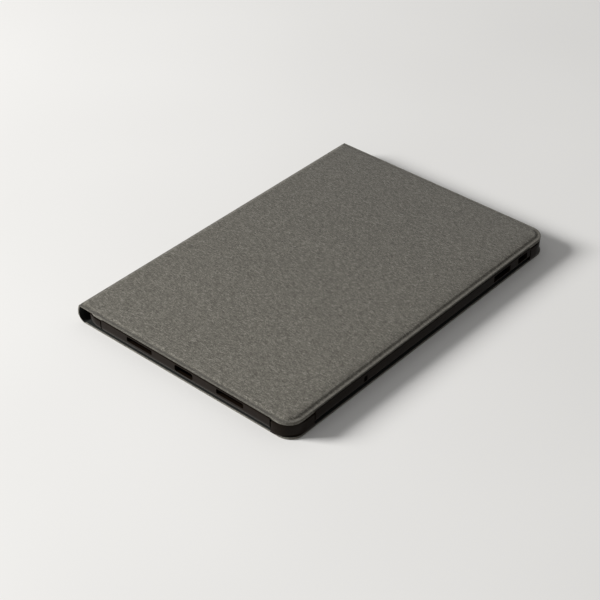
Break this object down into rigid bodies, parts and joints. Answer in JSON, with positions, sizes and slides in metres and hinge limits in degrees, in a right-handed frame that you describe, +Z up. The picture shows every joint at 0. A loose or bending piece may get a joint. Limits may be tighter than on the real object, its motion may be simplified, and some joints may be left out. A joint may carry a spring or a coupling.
{
  "type": "tablet case",
  "caption": "Folio tablet case: clip-in tray with port and key cut-outs on a rear cover, bowed spine and padded front cover that fold open.",
  "frame": {"origin": "middle of the underside of the closed case's bounding box, on the table", "axes": "+X across the case from the spine to the free edge, +Y along the case away from the charging port, +Z up out of the front cover"},
  "size_m": [0.1704, 0.252, 0.0125],
  "materials": {
    "woven_fabric": "grey woven melange, matt",
    "lining": "dark microfibre, matt",
    "tray_plastic": "glossy brown-black",
    "fibreboard": "raw pressed board",
    "foam": "closed-cell foam sheet",
    "adhesive": "double-sided adhesive film",
    "magnet": "nickel-plated magnet"
  },
  "bodies": {
    "rear_case": {"rear_skin": "woven_fabric", "rear_board": "fibreboard", "rear_lining": "lining", "tray_adhesive": "adhesive", "tray_floor": "tray_plastic", "tray_port_wall": "tray_plastic", "tray_far_wall": "tray_plastic", "tray_key_wall": "tray_plastic", "tray_spine_wall": "tray_plastic", "tray_bumper_port_free": "tray_plastic", "tray_bumper_far_free": "tray_plastic", "tray_bumper_port_spine": "tray_plastic", "tray_bumper_far_spine": "tray_plastic"},
    "spine": {"spine_skin": "woven_fabric", "spine_stiffener": "fibreboard", "spine_lining": "lining"},
    "front_cover": {"front_skin": "woven_fabric", "front_padding": "foam", "front_board": "fibreboard", "front_lining": "lining", "wake_magnet": "magnet", "closure_magnets": "magnet"}
  },
  "joints": [
    {"name": "rear_fold", "type": "hinge", "parent": "rear_case", "child": "spine", "pos_m": [-0.0835, 0, 0.0017], "axis": [0, -1, 0], "range_deg": [0, 180]},
    {"name": "front_fold", "type": "hinge", "parent": "spine", "child": "front_cover", "pos_m": [-0.0838, 0, 0.0119], "axis": [0, -1, 0], "range_deg": [0, 180]}
  ]
}
